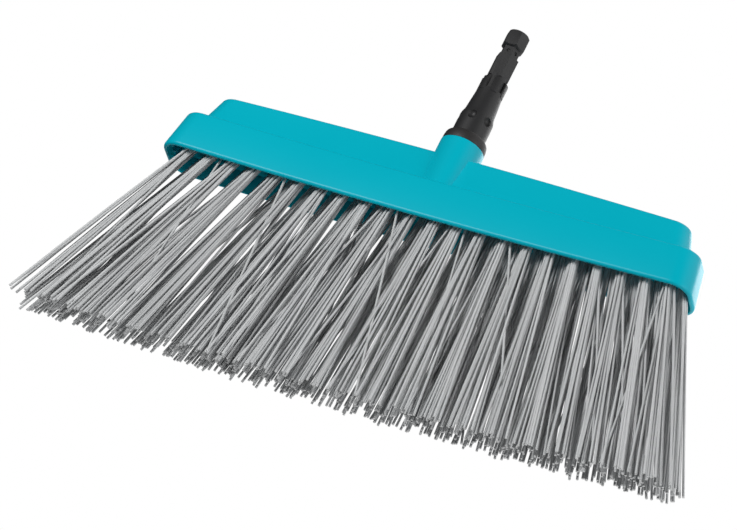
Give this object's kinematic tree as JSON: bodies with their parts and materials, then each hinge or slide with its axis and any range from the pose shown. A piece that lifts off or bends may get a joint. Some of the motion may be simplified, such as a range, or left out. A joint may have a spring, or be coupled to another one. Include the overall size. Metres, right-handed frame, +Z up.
{
  "type": "broom head",
  "caption": "Long skirted broom head with a ridge, an upright quick-fit handle plug and rows of straight bristle tufts fanned out along its length, for sweeping floors and paving.",
  "frame": {"origin": "middle of the plane that the bristle tips stand on", "axes": "+X along the head, +Y towards the back, +Z up along the handle plug; the front face looks towards -Y"},
  "size_m": [0.503, 0.0436, 0.3195],
  "materials": {
    "teal_plastic": "smooth moulded plastic with a soft satin gloss",
    "bristle": "extruded monofilament, silver grey with a soft sheen",
    "plug_plastic": "glass-filled moulded plastic, fine matte grain",
    "collar_plastic": "moulded plastic, matte",
    "steel": "zinc-plated steel"
  },
  "bodies": {
    "root": {"brush_block": "teal_plastic", "bristle_plate": "teal_plastic", "plate_screws": "steel", "anchors_front": "steel", "anchors_middle": "steel", "anchors_rear": "steel", "tufts_01": "bristle", "tufts_02": "bristle", "tufts_03": "bristle", "tufts_04": "bristle", "tufts_05": "bristle", "tufts_06": "bristle", "tufts_07": "bristle", "tufts_08": "bristle", "tufts_09": "bristle", "tufts_10": "bristle", "tufts_11": "bristle", "tufts_12": "bristle", "tufts_13": "bristle", "tufts_14": "bristle", "tufts_15": "bristle", "tufts_16": "bristle", "tufts_17": "bristle", "tufts_18": "bristle", "tufts_19": "bristle", "tufts_20": "bristle", "tufts_21": "bristle", "tufts_22": "bristle", "collar_ring": "collar_plastic", "coupling_plug": "plug_plastic", "stem_pin": "steel"}
  },
  "joints": []
}
